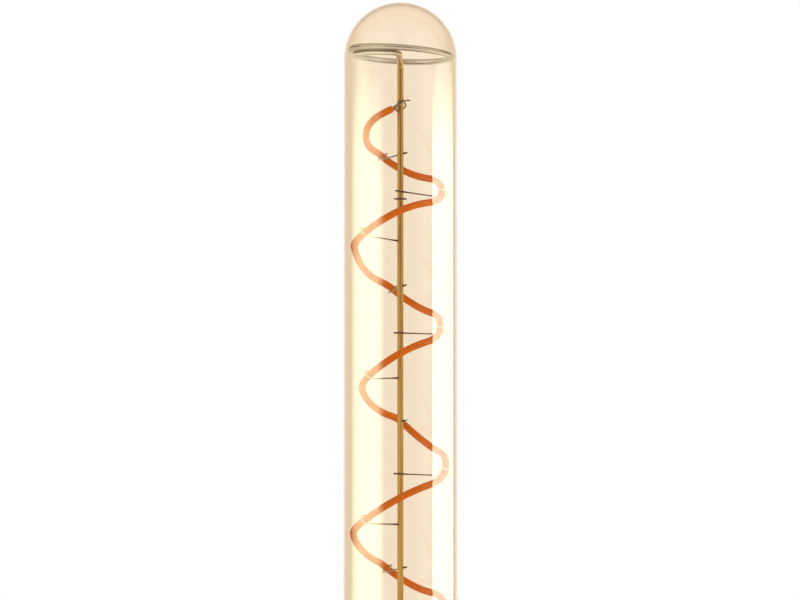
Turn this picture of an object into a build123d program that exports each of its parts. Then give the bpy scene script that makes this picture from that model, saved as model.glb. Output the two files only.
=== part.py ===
from build123d import *
import os
from math import asin, atan, cos, degrees, radians, sin, tan

# A tubular screw-base lamp: a spiral light strand hangs on wire hooks round a centre wire.
# Millimetres and degrees. The origin is the middle of the contact's flat face, and +Z runs
# up the lamp's axis to the dome. Angles are seen from above, with 0 at +X.

# Glass tube
overall_length = 300.0
tube_diameter = 30.0
glass_wall = 0.8
shoulder_length = 9.0
shoulder_clearance = 2.0
neck_depth = 8.0
neck_taper = 3.0

# Screw shell, a sheet pressing with a knuckle thread
cap_height = 27.0
thread_crest_diameter = 26.3
thread_depth = 0.9
thread_pitch = 3.629
thread_turns = 4.0
shell_sheet = 0.3
collar_length = 4.6
collar_step = 0.05
collar_rise = 0.9
lip_height = 1.8
lip_diameter = 20.8
thread_overlap = 0.2
thread_points_around = 24
thread_points_per_turn = 10
thread_fit = 0.004

# Contact, insulator and cement
contact_diameter = 9.6
contact_height = 1.2
contact_edge = 0.4
rivet_diameter = 2.4
rivet_upset = 0.6
insulator_foot_diameter = 11.2
insulator_floor = 4.8
insulator_rim_width = 2.3
insulator_rim_height = 1.1
insulator_clearance = 0.3
cement_length = 1.8
cement_recess = 0.2
cement_room = 0.25
groove_room = 0.1

# Driver on its round board
board_inset = 0.6
board_thickness = 1.0
capacitor_diameter = 6.3
capacitor_height = 7.0
capacitor_edge = 0.5
capacitor_offset_share = 0.55
resistor_diameter = 2.5
resistor_length = 6.0
resistor_offset_share = 0.56
resistor_lead_overhang = 1.6
resistor_lead_diameter = 0.6
package_length = 4.8
package_width = 3.9
package_height = 1.5
package_edge = 0.3
package_offset_share = 0.65
lead_tail = 0.6
live_lead_diameter = 0.6
neutral_lead_diameter = 0.4
neutral_lead_angle = 45.0
lead_room = 0.35

# Glass stem with its press and exhaust tube
stem_diameter = 10.0
stem_wall = 1.0
flare_rim = 1.2
flare_length = 9.8
stem_length = 24.5
press_length = 14.5
press_thickness = 4.6
press_slope = 6.0
press_edge = 0.6
exhaust_diameter = 4.0
exhaust_wall = 0.7
exhaust_tail = 2.5
exhaust_tip_share = 0.9
vent_diameter = 1.8
vent_depth = 2.6

# Centre wire: a straight rod whose top is bent out and round into a ring against the glass
support_wire_diameter = 1.62
support_embed = 8.0
ring_drop = 14.8
ring_rise = 1.3
ring_gap = 0.1
ring_turn_gap = 0.15
ring_turns = 1.25
ring_tilt = 3.3
ring_start_angle = -102.0
spoke_rise = 1.3
ring_corners_per_turn = 12

# Light strand
strand_diameter = 1.85
coil_clearance = 0.3
turn_pitch = 36.8
first_drop = 50.9
strand_foot = 16.0
top_end_drop = 28.3
top_end_reach = 2.6
top_end_angle = 230.0
foot_end_drop = 9.0
foot_end_reach = 5.0
foot_end_turn = 95.0
tab_diameter = 1.2
top_tab_length = 1.3
foot_tab_length = 2.5

# Hooks, leads and the tie at the strand's top end
hook_wire_diameter = 0.4
hook_loop_radius = 1.5
hook_loop_sweep = 285.0
hook_stub = 1.7
lead_in_diameter = 0.5
lead_in_offset = 3.1
lead_in_rise = 3.0
lead_in_reach = 4.0
weld_length = 5.0
tie_wire_diameter = 0.4
tie_loop_radius = 1.6
tie_loop_start = -60.0
tie_loop_step = 80.0
tie_loop_corners = 6
tie_loop_lean = 1.7
tie_rise = 0.4
tie_tail_rise = 1.6
tie_tail_reach = 2.7
tie_tail_angle = -15.0
cross_wire_length = 3.4
cross_wire_drop = 52.4

# Seats and bends
fit_gap = 0.02
wire_bend_radius = 1.6
fine_bend_radius = 0.5
bend_share = 0.48
shortest_run = 0.002
hook_settle_rounds = 4

# Stations of the strand in one even turn, from the top down: angle, and drop as a share of the pitch.
# A bend has no hook. The pull says how wide the strand's bend is at the station.
turn_stations = [
    ("back", 102.0, -0.32, 0.57),
    ("right", -17.0, 0.0, 0.36),
    ("front", -141.0, 0.31, 1.27),
    ("bend", -188.0, 0.48, 1.6),
]
# How much higher a hook meets the centre wire than it leaves its loop
weld_rise = {"back": 1.2, "right": 1.0, "front": -0.2}
# How the upper stations stray from the even turns: turn in degrees, inset, drop, and the weld's rise
upper_strays = [
    (-4.0, 2.9, 2.4, 0.0),
    (13.0, 0.8, 1.0, -0.3),
    (14.0, 1.3, 0.0, 0.4),
    (3.0, 0.0, -0.5, -0.3),
    (-11.0, 0.8, 0.6, 0.0),
    (-1.0, 1.7, -0.3, 0.0),
    (-3.0, 1.3, -0.2, -0.6),
    (-4.0, 2.5, 0.1, 0.7),
    (0.0, 2.9, -0.4, 0.0),
    (-16.0, 1.7, -1.3, 0.0),
    (-4.0, 0.0, 0.3, -0.5),
    (-4.0, 1.2, 1.3, 0.1),
    (7.0, 0.2, 0.3, 0.0),
    (6.0, 0.9, 0.5, 0.0),
]
lower_stray = (0.0, 0.5, 0.0, 0.0)

# Radii of the shell
crest_radius = thread_crest_diameter / 2
mean_radius = crest_radius - thread_depth / 2
shell_bore = crest_radius - thread_depth - shell_sheet
collar_radius = crest_radius + collar_step
collar_bore = collar_radius - shell_sheet
lip_radius = lip_diameter / 2

# Heights in the cap
rim_z = cap_height
collar_z = rim_z - collar_length
thread_z = collar_z - thread_turns * thread_pitch
lip_z = thread_z - lip_height
lip_inner_low = (lip_radius - shell_sheet, lip_z + shell_sheet)
lip_inner_high = (shell_bore - collar_step, thread_z - shell_sheet)
board_z = lip_inner_high[1] + insulator_rim_height
board_top = board_z + board_thickness
rivet_z = insulator_floor + rivet_upset
insulator_rim_radius = lip_inner_high[0] - insulator_clearance
dish_radius = insulator_rim_radius - insulator_rim_width
neutral_lead_reach = dish_radius - neutral_lead_diameter

# Places on the board, which follow its radius
board_radius = insulator_rim_radius - board_inset
capacitor_offset = board_radius * capacitor_offset_share
resistor_offset = board_radius * resistor_offset_share
package_offset = board_radius * package_offset_share

# Radii and heights of the glass
tube_radius = tube_diameter / 2
tube_bore = tube_radius - glass_wall
neck_radius = shell_bore - neutral_lead_diameter - lead_room
seat_radius = collar_bore - neutral_lead_diameter - cement_room
neck_z = rim_z - neck_depth
taper_top = rim_z - cement_length
taper_z = taper_top - neck_taper
shoulder_z = rim_z + shoulder_clearance
shoulder_top = shoulder_z + shoulder_length
dome_z = overall_length - tube_radius
stem_radius = stem_diameter / 2
press_z = neck_z + stem_length
press_top = press_z + press_length

# Radii round the centre wire
rod_radius = support_wire_diameter / 2
hook_pass = rod_radius + hook_wire_diameter / 2 + fit_gap
coil_radius = tube_bore - hook_loop_radius - hook_wire_diameter / 2 - coil_clearance

# The ring winds outward, bears on the tube at the right, and ends under the dome at the left
ring_z = overall_length - ring_drop
ring_slope = tan(radians(ring_tilt))
ring_reach = tube_bore - rod_radius - ring_gap
ring_end_lift = max(0, ring_z + ring_rise * ring_turns - dome_z)
ring_end_room = (ring_reach**2 * (1 + ring_slope**2) - ring_end_lift**2) ** 0.5
ring_end_reach = (ring_end_room - ring_slope * ring_end_lift) / (1 + ring_slope**2)
ring_inset = max(0, (support_wire_diameter + ring_turn_gap) ** 2 - ring_rise**2) ** 0.5
ring_radius = (ring_reach + ring_inset / 2 + ring_end_reach) / 2
ring_shift = ring_radius - ring_end_reach


def line(a, b):
    """A straight edge between two points of the radius and height plane."""
    return Edge.make_line((a[0], 0, a[1]), (b[0], 0, b[1]))


def arc(centre, radius, start, end):
    """An arc in the radius and height plane, between two angles."""
    angles = [radians(start), radians((start + end) / 2), radians(end)]
    points = [(centre[0] + radius * cos(a), 0, centre[1] + radius * sin(a)) for a in angles]
    return Edge.make_three_point_arc(*points)


def swell(low, high, inset):
    """Two equal tangent arcs between two upright walls, moved inward by the inset."""
    turn = 2 * atan((high[0] - low[0]) / (high[1] - low[1]))
    radius = (high[1] - low[1]) / (2 * sin(turn))
    hollow = arc((low[0] + radius, low[1]), radius + inset, 180, 180 - degrees(turn))
    crown = arc((high[0] - radius, high[1]), radius - inset, -degrees(turn), 0)
    return [hollow, crown]


def turned(edges):
    """A solid of revolution from a closed outline in the radius and height plane."""
    return revolve(Face(Wire(edges)), Axis.Z)


def turned_polygon(points):
    return turned([line(a, b) for a, b in zip(points, points[1:] + points[:1])])


def polar(angle, reach, height):
    return Vector(reach * cos(radians(angle)), reach * sin(radians(angle)), height)


def post(diameter, low, high, spot=(0, 0)):
    """An upright round bar between two heights."""
    foot = (Align.CENTER, Align.CENTER, Align.MIN)
    return Pos(spot[0], spot[1], low) * Cylinder(diameter / 2, high - low, align=foot)


def pin(diameter, length, start, direction):
    """A round bar from its start, in any direction."""
    return Plane(start, z_dir=direction) * post(diameter, 0, length)


def drilled(body, spots, diameter, low, high):
    """The body with upright holes for wires of this diameter."""
    for spot in spots:
        body = body - post(diameter + 2 * fit_gap, low, high, spot)
    return body


def bent(corners, arms):
    """A path of straight runs with a tangent arc at each inner corner, whose ends lie an arm from it."""
    edges = []
    start = corners[0]
    for before, corner, after, arm in zip(corners, corners[1:], corners[2:], arms):
        inward = (corner - before).normalized()
        outward = (after - corner).normalized()
        dip = arm * tan(radians(inward.get_angle(outward)) / 4)
        first = corner - inward * arm
        last = corner + outward * arm
        if (first - start).length > shortest_run:
            edges.append(Edge.make_line(start, first))
        middle = corner + (outward - inward).normalized() * dip
        edges.append(Edge.make_three_point_arc(first, middle, last))
        start = last
    if (corners[-1] - start).length > shortest_run:
        edges.append(Edge.make_line(start, corners[-1]))
    return Wire(edges)


def even_arms(corners, radius):
    """Arms that give every corner this radius where its two runs have room for it."""
    runs = [after - before for before, after in zip(corners, corners[1:])]
    rooms = [bend_share * run.length for run in runs]
    rooms[0] *= 2
    rooms[-1] *= 2
    arms = []
    for into, out, before, after in zip(runs, runs[1:], rooms, rooms[1:]):
        wanted = radius * tan(radians(into.get_angle(out)) / 2)
        arms.append(min(wanted, before, after))
    return arms


def rod_along(path, diameter):
    section = Plane(path @ 0, z_dir=path % 0) * Circle(diameter / 2)
    return sweep(section, path=path)


def bent_rod(corners, diameter, radius):
    return rod_along(bent(corners, even_arms(corners, radius)), diameter)


def glass_outline(inset):
    """The tube's outline, moved inward by the inset, and closed along the axis."""
    dome_radius = tube_radius - inset
    edges = [line((neck_radius - inset, neck_z), (neck_radius - inset, taper_z))]
    edges += swell((neck_radius, taper_z), (seat_radius, taper_top), inset)
    edges.append(line((seat_radius - inset, taper_top), (seat_radius - inset, shoulder_z)))
    edges += swell((seat_radius, shoulder_z), (tube_radius, shoulder_top), inset)
    edges.append(line((dome_radius, shoulder_top), (dome_radius, dome_z)))
    edges.append(arc((0, dome_z), dome_radius, 0, 90))
    edges.append(line((0, dome_z + dome_radius), (0, neck_z)))
    edges.append(line((0, neck_z), (neck_radius - inset, neck_z)))
    return edges


def glass_envelope():
    return turned(glass_outline(0)) - turned(glass_outline(glass_wall))


def glass_stem():
    """Flare, tube, flattened press and exhaust tube, all of one glass."""
    rim_radius = neck_radius - glass_wall
    flare_top = neck_z + flare_rim + flare_length
    body = turned_polygon([
        (0, neck_z),
        (rim_radius, neck_z),
        (rim_radius, neck_z + flare_rim),
        (stem_radius, flare_top),
        (stem_radius, press_top),
        (0, press_top),
    ])
    hollow = turned_polygon([
        (0, neck_z),
        (rim_radius - stem_wall, neck_z),
        (rim_radius - stem_wall, neck_z + flare_rim - fit_gap),
        (stem_radius - stem_wall, flare_top - fit_gap),
        (stem_radius - stem_wall, press_z - stem_wall),
        (0, press_z - stem_wall),
    ])
    half = press_thickness / 2
    wedge = Face(Wire.make_polygon([
        (0, half, press_top),
        (0, half, press_z + press_slope),
        (0, stem_radius, press_z),
        (0, stem_diameter, press_z),
        (0, stem_diameter, press_top),
    ]))
    pinch = extrude(wedge, amount=stem_radius, dir=(1, 0, 0), both=True)
    press = body - pinch - mirror(pinch, Plane.XZ)
    press = fillet(press.faces().sort_by(Axis.Z)[-1].edges(), press_edge)
    tip_z = neck_z - exhaust_tail
    exhaust_radius = exhaust_diameter / 2
    exhaust = post(exhaust_diameter, tip_z, press_z)
    exhaust = fillet(exhaust.faces().sort_by(Axis.Z)[0].edges(), exhaust_radius * exhaust_tip_share)
    bore_top = press_z + vent_depth
    bore = post(exhaust_diameter - 2 * exhaust_wall, tip_z + exhaust_radius, bore_top)
    vent = pin(vent_diameter, stem_radius, (0, 0, bore_top - vent_diameter / 2), (0, -1, 0))
    stem = press - hollow + exhaust - bore - vent
    stem = drilled(stem, lead_in_spots, lead_in_diameter, press_z - stem_diameter, press_top)
    return drilled(stem, [(0, 0)], support_wire_diameter, press_top - support_embed, press_top)


def thread_spot(angle, height, radius):
    """A point of an off-centre ring of this radius, which turns as it rises."""
    lean = thread_depth / 2
    turn = radians(angle - 360 * (height - thread_z) / thread_pitch)
    reach = lean * cos(turn) + (radius**2 - (lean * sin(turn)) ** 2) ** 0.5
    return polar(angle, reach, height)


def thread_column(radius):
    """A bar with the form of the thread, from inside the lip to inside the collar."""
    low = thread_z - thread_overlap
    high = collar_z + thread_overlap
    rows = round(thread_points_per_turn * (high - low) / thread_pitch)
    heights = [low + (high - low) * row / rows for row in range(rows + 1)]
    columns = []
    for column in range(thread_points_around):
        angle = 360 * column / thread_points_around
        columns.append([thread_spot(angle, height, radius) for height in heights])
    wall = Face.make_surface_from_array_of_points(columns + columns[:1], tol=thread_fit)
    edges = wall.edges().sort_by(Axis.Z)
    ends = [Face(Wire([edges[0]])), Face(Wire([edges[-1]]))]
    return Solid(Shell([wall] + ends))


def screw_shell():
    """One pressing: rolled lip, knuckle thread and plain collar."""
    thread = thread_column(mean_radius) - thread_column(mean_radius - shell_sheet)
    bore = shell_bore - collar_step
    collar = turned_polygon([
        (bore, collar_z),
        (collar_radius, collar_z),
        (collar_radius, rim_z),
        (collar_bore, rim_z),
        (collar_bore, collar_z + collar_rise),
        (bore, collar_z + shell_sheet),
    ])
    lip = turned_polygon([
        (bore, thread_z),
        (collar_radius, thread_z),
        (collar_radius, thread_z - shell_sheet),
        (lip_radius, lip_z),
        lip_inner_low,
        lip_inner_high,
    ])
    return thread + collar + lip


def cap_insulator():
    share = (insulator_rim_radius - lip_inner_low[0]) / (lip_inner_high[0] - lip_inner_low[0])
    seat_z = lip_inner_low[1] + share * (lip_inner_high[1] - lip_inner_low[1])
    rivet_radius = rivet_diameter / 2
    return turned_polygon([
        (rivet_radius, contact_height),
        (insulator_foot_diameter / 2, contact_height),
        lip_inner_low,
        (insulator_rim_radius, seat_z),
        (insulator_rim_radius, board_z),
        (dish_radius, board_z),
        (dish_radius, insulator_floor),
        (rivet_radius, insulator_floor),
    ])


def centre_contact():
    radius = contact_diameter / 2
    rivet_radius = rivet_diameter / 2
    return turned([
        line((0, 0), (radius - contact_edge, 0)),
        arc((radius - contact_edge, contact_edge), contact_edge, -90, 0),
        line((radius, contact_edge), (radius, contact_height)),
        line((radius, contact_height), (rivet_radius, contact_height)),
        line((rivet_radius, contact_height), (rivet_radius, rivet_z)),
        line((rivet_radius, rivet_z), (0, rivet_z)),
        line((0, rivet_z), (0, 0)),
    ])


def cap_cement():
    """A ring between neck and collar, with a groove for the lead that runs up the collar's wall."""
    ring = turned_polygon([
        (seat_radius, taper_top),
        (collar_bore, taper_top),
        (collar_bore, rim_z - cement_recess),
        (seat_radius, rim_z - cement_recess),
    ])
    spot = polar(neutral_lead_angle, neutral_top_reach, 0)
    return ring - post(neutral_lead_diameter + 2 * groove_room, taper_top, rim_z, (spot.X, spot.Y))


def driver_board():
    board = post(2 * board_radius, board_z, board_top)
    neutral = polar(neutral_lead_angle, neutral_lead_reach, 0)
    board = drilled(board, lead_in_spots, lead_in_diameter, board_z, board_top)
    board = drilled(board, [(0, 0)], live_lead_diameter, board_z, board_top)
    board = drilled(board, [(neutral.X, neutral.Y)], neutral_lead_diameter, board_z, board_top)
    ends = [(side * resistor_lead_x, -resistor_offset) for side in (-1, 1)]
    return drilled(board, ends, resistor_lead_diameter, board_z, board_top)


def fuse_resistor():
    """A body lying on the board, with its two leads bent down through it."""
    axis_z = board_top + resistor_diameter / 2
    foot_z = board_z - lead_tail
    corners = [
        Vector(-resistor_lead_x, -resistor_offset, foot_z),
        Vector(-resistor_lead_x, -resistor_offset, axis_z),
        Vector(resistor_lead_x, -resistor_offset, axis_z),
        Vector(resistor_lead_x, -resistor_offset, foot_z),
    ]
    leads = bent_rod(corners, resistor_lead_diameter, fine_bend_radius)
    end = (-resistor_length / 2, -resistor_offset, axis_z)
    return leads + pin(resistor_diameter, resistor_length, end, (1, 0, 0))


def smoothing_capacitor():
    can = post(capacitor_diameter, board_top, board_top + capacitor_height, (0, capacitor_offset))
    return fillet(can.edges().filter_by(GeomType.CIRCLE), capacitor_edge)


def flat_package(side):
    """A moulded package standing flat on the board, beside the middle."""
    middle_z = board_top + package_height / 2
    body = Pos(side * package_offset, 0, middle_z) * Box(package_width, package_length, package_height)
    return chamfer(body.faces().sort_by(Axis.Z)[-1].edges(), package_edge)


def live_lead():
    return post(live_lead_diameter, rivet_z, board_top + lead_tail)


def neutral_lead():
    """From the board, up between neck and shell, to the collar's inner wall."""
    channel = (neck_radius + shell_bore) / 2
    route = [
        (neutral_lead_reach, board_z - lead_tail),
        (neutral_lead_reach, neck_z - neck_taper),
        (channel, neck_z - fine_bend_radius),
        (channel, taper_z + fine_bend_radius),
        (neutral_top_reach, taper_top - collar_rise),
        (neutral_top_reach, rim_z - cement_recess),
    ]
    corners = [polar(neutral_lead_angle, reach, height) for reach, height in route]
    return bent_rod(corners, neutral_lead_diameter, fine_bend_radius)


def ring_spot(turns, outward):
    """A point of the ring, so many turns from its start, moved out by a factor."""
    radius = (ring_radius - ring_inset * (ring_turns - turns)) * outward
    spot = polar(ring_start_angle - 360 * turns, radius, ring_z + ring_rise * turns)
    return spot + Vector(ring_shift, 0, -ring_slope * (spot.X + ring_shift))


def support_wire():
    """The rod, its spoke to the front, and the ring."""
    step = 1 / ring_corners_per_turn
    outward = 1 / cos(radians(180 * step))
    ring = [ring_spot(0, 1)]
    ring += [ring_spot(step * (index + 0.5), outward) for index in range(int(ring_turns / step))]
    ring.append(ring_spot(ring_turns, 1))
    elbow = ring[0] + (ring[0] - ring[1]).normalized() * wire_bend_radius
    foot = Vector(0, 0, press_top - support_embed)
    knee = Vector(0, 0, elbow.Z - spoke_rise)
    arms = [wire_bend_radius, wire_bend_radius] + even_arms(ring, ring_radius)
    return rod_along(bent([foot, knee, elbow] + ring[1:], arms), support_wire_diameter)


def strand_stations():
    """Every station of the strand from its top end down: kind, place, pull and the rise of its hook.

    The top turn has its bend alone, and the last one ends at its hook at the back.
    """
    stations = [("end", polar(top_end_angle, top_end_reach, overall_length - top_end_drop), 1.0, 0.0)]
    depth = overall_length - press_top - strand_foot - first_drop
    turns = int(depth / turn_pitch - turn_stations[0][2])
    order = [(-1, turn_stations[-1])]
    order += [(turn, station) for turn in range(turns) for station in turn_stations]
    order.append((turns, turn_stations[0]))
    for index, (turn, (kind, angle, share, pull)) in enumerate(order):
        swing, inset, lower, lift = upper_strays[index] if index < len(upper_strays) else lower_stray
        drop = first_drop + (turn + share) * turn_pitch + lower
        place = polar(angle - 360 * turn + swing, coil_radius - inset, overall_length - drop)
        stations.append((kind, place, pull, weld_rise.get(kind, 0) + lift))
    foot_angle = angle - 360 * turn - foot_end_turn
    foot_z = overall_length - drop - foot_end_drop
    stations.append(("end", polar(foot_angle, foot_end_reach, foot_z), 1.0, 0.0))
    return stations


def strand_headings(places):
    """The strand's direction at each station, down along it."""
    headings = [(places[1] - places[0]) * 2 - (places[2] - places[0]) * 0.5]
    headings += [after - before for before, after in zip(places, places[2:])]
    headings.append((places[-1] - places[-2]) * 2 - (places[-1] - places[-3]) * 0.5)
    return [heading.normalized() for heading in headings]


def strand_path(stations, headings):
    """A smooth line through the stations: two arcs in each span, as wide at each end as the pulls say."""
    corners, arms = [stations[0][1]], []
    for (here, there), (along, beyond) in zip(zip(stations, stations[1:]), zip(headings, headings[1:])):
        span = there[1] - here[1]
        ratio = there[2] / here[2]
        square = 2 * ratio * (along.dot(beyond) - 1)
        linear = -2 * span.dot(along + beyond * ratio)
        root = (linear**2 - 4 * square * span.dot(span)) ** 0.5
        arm = (-linear - root) / (2 * square)
        corners += [here[1] + along * arm, there[1] - beyond * (arm * ratio)]
        arms += [arm, arm * ratio]
    corners.append(stations[-1][1])
    return bent(corners, arms)


def hook(place, heading, rise):
    """A wire welded beside the rod, with an open loop round the strand at its station."""
    along = heading * -1
    run = Vector(-place.X, -place.Y, 0).normalized()
    for settle in range(hook_settle_rounds):
        lift = along.cross(run).normalized()
        start = place - lift * hook_loop_radius
        level = Vector(-start.X, -start.Y, 0)
        turn = asin(hook_pass / level.length)
        flat = level.normalized().rotate(Axis.Z, degrees(turn))
        reach = level.length * cos(turn)
        run = (flat * reach + Vector(0, 0, rise)).normalized()
    spots = []
    for share in (0, 0.5, 1):
        angle = radians(hook_loop_sweep * share)
        spots.append(place - lift * (hook_loop_radius * cos(angle)) - run * (hook_loop_radius * sin(angle)))
    stub = spots[0] + run * (reach + hook_stub)
    path = Wire([Edge.make_line(stub, spots[0]), Edge.make_three_point_arc(*spots)])
    return rod_along(path, hook_wire_diameter)


def top_tie_wire(start, direction):
    """From the top tab, one loose turn round the rod and a free tail."""
    corners = [start, start + direction * tie_wire_diameter]
    for corner in range(tie_loop_corners):
        turn = tie_loop_step * corner
        lift = tie_rise * corner / tie_loop_corners + tie_loop_lean * cos(radians(turn))
        corners.append(polar(tie_loop_start + turn, tie_loop_radius, start.Z + lift))
    corners.append(polar(tie_tail_angle, tie_tail_reach, start.Z + tie_tail_rise))
    return bent_rod(corners, tie_wire_diameter, fine_bend_radius)


def strand_lead_in(tab_end, direction):
    """Up through the press and over to the strand's lower tab."""
    corners = [
        Vector(lead_in_offset, 0, board_z - lead_tail),
        Vector(lead_in_offset, 0, press_top + lead_in_rise),
        tab_end + direction * lead_in_reach,
        tab_end,
    ]
    return bent_rod(corners, lead_in_diameter, wire_bend_radius)


def support_lead_in():
    """Up through the press and along the rod, to which it is welded."""
    beside = rod_radius + lead_in_diameter / 2 + fit_gap
    corners = [
        Vector(-lead_in_offset, 0, board_z - lead_tail),
        Vector(-lead_in_offset, 0, press_top + lead_in_rise),
        Vector(-beside, 0, press_top + lead_in_rise + lead_in_reach),
        Vector(-beside, 0, press_top + lead_in_rise + lead_in_reach + weld_length),
    ]
    return bent_rod(corners, lead_in_diameter, wire_bend_radius)


def cross_wire():
    """A short wire welded across the front of the rod."""
    end = (-cross_wire_length / 2, -hook_pass, overall_length - cross_wire_drop)
    return pin(hook_wire_diameter, cross_wire_length, end, (1, 0, 0))


# Places that several pieces share
lead_in_spots = [(side * lead_in_offset, 0) for side in (-1, 1)]
neutral_top_reach = collar_bore - neutral_lead_diameter / 2 - fit_gap
resistor_lead_x = resistor_length / 2 + resistor_lead_overhang
stations = strand_stations()
headings = strand_headings([place for kind, place, pull, rise in stations])
strand = strand_path(stations, headings)
top_end, foot_end = stations[0][1], stations[-1][1]
top_tab_end = top_end - headings[0] * top_tab_length
foot_tab_end = foot_end + headings[-1] * foot_tab_length

nodes = {
    "glass_envelope": glass_envelope(),
    "glass_stem": glass_stem(),
    "screw_shell": screw_shell(),
    "cap_insulator": cap_insulator(),
    "centre_contact": centre_contact(),
    "cap_cement": cap_cement(),
    "driver_board": driver_board(),
    "fuse_resistor": fuse_resistor(),
    "smoothing_capacitor": smoothing_capacitor(),
    "bridge_rectifier": flat_package(-1),
    "driver_chip": flat_package(1),
    "live_lead": live_lead(),
    "neutral_lead": neutral_lead(),
    "support_wire": support_wire(),
    "light_strand": rod_along(strand, strand_diameter),
    "strand_top_tab": pin(tab_diameter, top_tab_length, top_end, headings[0] * -1),
    "strand_foot_tab": pin(tab_diameter, foot_tab_length, foot_end, headings[-1]),
    "top_tie_wire": top_tie_wire(top_tab_end, headings[0] * -1),
    "strand_lead_in": strand_lead_in(foot_tab_end, headings[-1]),
    "support_lead_in": support_lead_in(),
    "cross_wire": cross_wire(),
}
hooked = [pair for pair in zip(stations, headings) if pair[0][0] in weld_rise]
for number, ((kind, place, pull, rise), heading) in enumerate(hooked, 1):
    nodes[f"strand_hook_{number:02d}"] = hook(place, heading, rise)

os.makedirs("parts", exist_ok=True)
for name, solid in nodes.items():
    export_step(solid, f"parts/{name}.step")
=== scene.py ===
from math import asin, atan, ceil, cos, degrees, pi, radians, sin, sqrt, tan

import bmesh
import bpy
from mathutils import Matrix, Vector


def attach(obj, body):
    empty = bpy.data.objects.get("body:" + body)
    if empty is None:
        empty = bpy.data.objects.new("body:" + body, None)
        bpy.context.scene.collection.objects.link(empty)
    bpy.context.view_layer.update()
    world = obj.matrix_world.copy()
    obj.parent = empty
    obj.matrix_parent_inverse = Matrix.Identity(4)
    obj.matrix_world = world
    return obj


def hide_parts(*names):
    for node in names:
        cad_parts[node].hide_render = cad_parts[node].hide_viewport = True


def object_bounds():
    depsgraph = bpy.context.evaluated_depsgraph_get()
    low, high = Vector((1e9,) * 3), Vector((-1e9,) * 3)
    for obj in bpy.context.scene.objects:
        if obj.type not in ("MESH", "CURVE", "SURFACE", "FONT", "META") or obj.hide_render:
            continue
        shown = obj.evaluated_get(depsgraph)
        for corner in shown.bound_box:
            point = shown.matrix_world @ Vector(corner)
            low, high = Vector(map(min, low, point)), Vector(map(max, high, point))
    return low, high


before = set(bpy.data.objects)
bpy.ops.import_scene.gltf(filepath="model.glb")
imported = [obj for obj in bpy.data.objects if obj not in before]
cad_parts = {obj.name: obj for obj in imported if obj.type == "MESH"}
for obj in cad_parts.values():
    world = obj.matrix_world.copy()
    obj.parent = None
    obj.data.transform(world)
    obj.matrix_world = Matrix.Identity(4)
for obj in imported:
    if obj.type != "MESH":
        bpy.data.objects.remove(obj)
cad_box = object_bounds()

# A tubular screw-base lamp. Sizes are in millimetres and degrees, and meshes are made in metres.
# Angles are seen from above, with 0 at +X. The side at -Y is the one that the photograph shows.
MM = 0.001

# Glass tube
overall_length = 300.0
tube_radius = 15.0
glass_wall = 0.8
rim_z = 27.0
neck_z = 19.0
neck_radius = 11.2
seat_radius = 12.25
taper_z = 22.2
taper_top = 25.2
shoulder_z = 29.0
shoulder_top = 38.0
press_top = 58.0
tube_bore = tube_radius - glass_wall
dome_z = overall_length - tube_radius

# Screw shell
crest_radius = 13.15
thread_depth = 0.9
thread_pitch = 3.629
thread_turns = 4.0
shell_sheet = 0.3
collar_radius = 13.2
collar_z = 22.4
lip_radius = 10.4
lip_height = 1.8
lip_gap = 0.05
thread_z = collar_z - thread_turns * thread_pitch
lip_z = thread_z - lip_height

# Contact and insulator
contact_radius = 4.8
contact_height = 1.2
contact_edge = 0.4
rivet_radius = 1.2
rivet_z = 5.4
insulator_foot_radius = 5.6
insulator_floor = 4.8
insulator_rim_radius = 11.6
insulator_edge = 0.3
dish_radius = 9.3
board_z = 8.684

# Centre wire
rod_radius = 0.81
ring_drop = 14.8
ring_rise = 1.3
ring_gap = 0.1
ring_turn_gap = 0.15
ring_turns = 1.25
ring_tilt = 3.3
ring_start_angle = -102.0
spoke_rise = 1.3
ring_corners_per_turn = 12
support_embed = 8.0
wire_bend_radius = 1.6

# Light strand and its hooks
strand_radius = 0.925
turn_pitch = 36.8
first_drop = 50.9
strand_foot = 16.0
top_end_drop = 28.3
top_end_reach = 2.6
top_end_angle = 230.0
foot_end_drop = 9.0
foot_end_reach = 5.0
foot_end_turn = 95.0
tab_radius = 0.6
top_tab_length = 1.3
foot_tab_length = 2.5
coil_clearance = 0.3
hook_wire_radius = 0.2
hook_loop_radius = 1.5
hook_loop_sweep = 285.0
hook_stub = 1.7
weld_growth = 0.35
weld_reach = 1.2
fit_gap = 0.02
hook_pass = rod_radius + hook_wire_radius + fit_gap
coil_radius = tube_bore - hook_loop_radius - hook_wire_radius - coil_clearance

# Stations of the strand in one even turn, from the top down: angle, drop as a share of the pitch, and pull
turn_stations = [
    ("back", 102.0, -0.32, 0.57),
    ("right", -17.0, 0.0, 0.36),
    ("front", -141.0, 0.31, 1.27),
    ("bend", -188.0, 0.48, 1.6),
]
# How much higher a hook meets the centre wire than it leaves its loop
weld_rise = {"back": 1.2, "right": 1.0, "front": -0.2}
# How the upper stations stray from the even turns: turn in degrees, inset, drop, and the weld's rise
upper_strays = [
    (-4.0, 2.9, 2.4, 0.0),
    (13.0, 0.8, 1.0, -0.3),
    (14.0, 1.3, 0.0, 0.4),
    (3.0, 0.0, -0.5, -0.3),
    (-11.0, 0.8, 0.6, 0.0),
    (-1.0, 1.7, -0.3, 0.0),
    (-3.0, 1.3, -0.2, -0.6),
    (-4.0, 2.5, 0.1, 0.7),
    (0.0, 2.9, -0.4, 0.0),
    (-16.0, 1.7, -1.3, 0.0),
    (-4.0, 0.0, 0.3, -0.5),
    (-4.0, 1.2, 1.3, 0.1),
    (7.0, 0.2, 0.3, 0.0),
    (6.0, 0.9, 0.5, 0.0),
]
lower_stray = (0.0, 0.5, 0.0, 0.0)

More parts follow.
